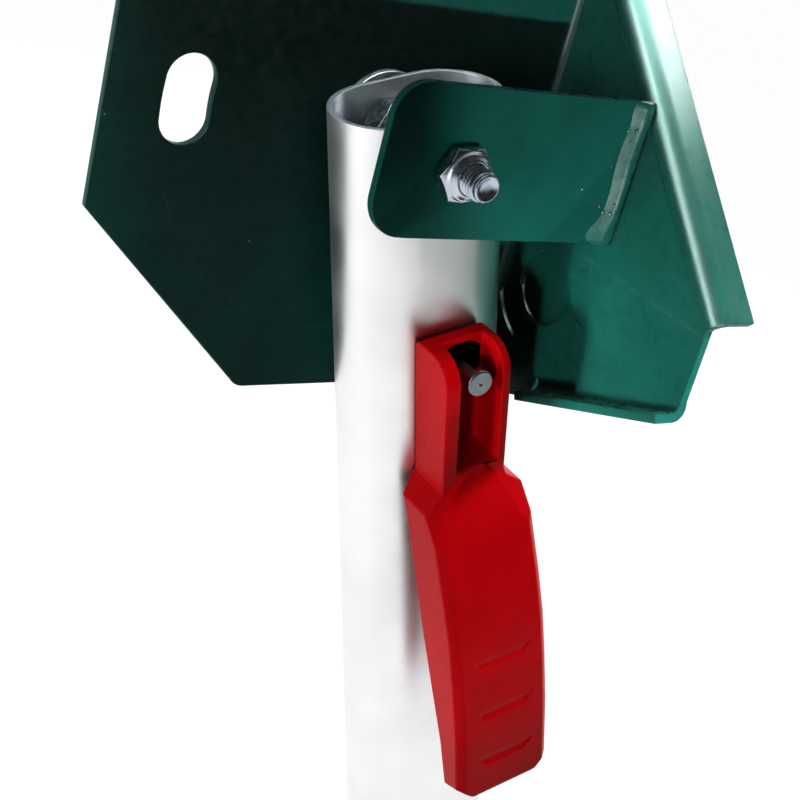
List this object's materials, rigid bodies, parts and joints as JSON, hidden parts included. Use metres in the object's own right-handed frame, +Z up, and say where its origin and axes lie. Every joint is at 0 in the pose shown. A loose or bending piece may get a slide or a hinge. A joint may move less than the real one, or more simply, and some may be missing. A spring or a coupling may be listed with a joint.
{
  "type": "table tennis table leg latch",
  "caption": "Folding leg pivot of a table tennis table: folded steel bracket with a welded lug, flat oval leg on a pivot bolt, sprung plunger and a red release lever.",
  "frame": {"origin": "centre of the four frame bolts, on the back face of the bracket's plate", "axes": "+Z up, +Y through the plate towards the frame it is bolted to, +X towards the folded side wall; the lug and the lever face -Y"},
  "size_m": [0.1763, 0.0918, 0.3557],
  "materials": {
    "green_powder_coat": "satin",
    "satin_aluminium": "satin",
    "zinc_plate": "satin",
    "dark_nylon": "matte",
    "natural_nylon": "matte",
    "red_plastic": "matte"
  },
  "bodies": {
    "bracket": {"bracket_plate": "green_powder_coat", "pivot_lug": "green_powder_coat", "lug_weld_front": "green_powder_coat", "lug_weld_rear": "green_powder_coat", "plate_bush": "natural_nylon", "lug_bush": "natural_nylon"},
    "leg": {"leg_tube": "satin_aluminium", "pivot_bolt": "zinc_plate", "head_washer": "zinc_plate", "thrust_disc": "zinc_plate", "inner_nut": "zinc_plate", "lock_nut": "zinc_plate", "lock_nut_ring": "dark_nylon", "plunger_guide": "natural_nylon", "pin_guide": "natural_nylon", "return_spring": "zinc_plate"},
    "plunger": {"plunger": "zinc_plate", "pull_pin": "zinc_plate", "cross_pin": "zinc_plate"},
    "lever": {"release_lever": "red_plastic"}
  },
  "joints": [
    {"name": "leg_swing", "type": "hinge", "parent": "bracket", "child": "leg", "pos_m": [0.01, -0.0213, -0.054], "axis": [0, 1, 0], "range_deg": [0, 106.45]},
    {"name": "plunger_slide", "type": "slide", "parent": "leg", "child": "plunger", "axis": [0, 1, 0], "range_m": [0, 0.004], "stiffness_N_per_m": 1000, "springref_m": 0.016, "deforming": ["return_spring"]},
    {"name": "lever_rock", "type": "hinge", "parent": "leg", "child": "lever", "pos_m": [0.02339, -0.03875, -0.09936], "axis": [-0.9591, 0, -0.2832], "range_deg": [0, 14]}
  ]
}
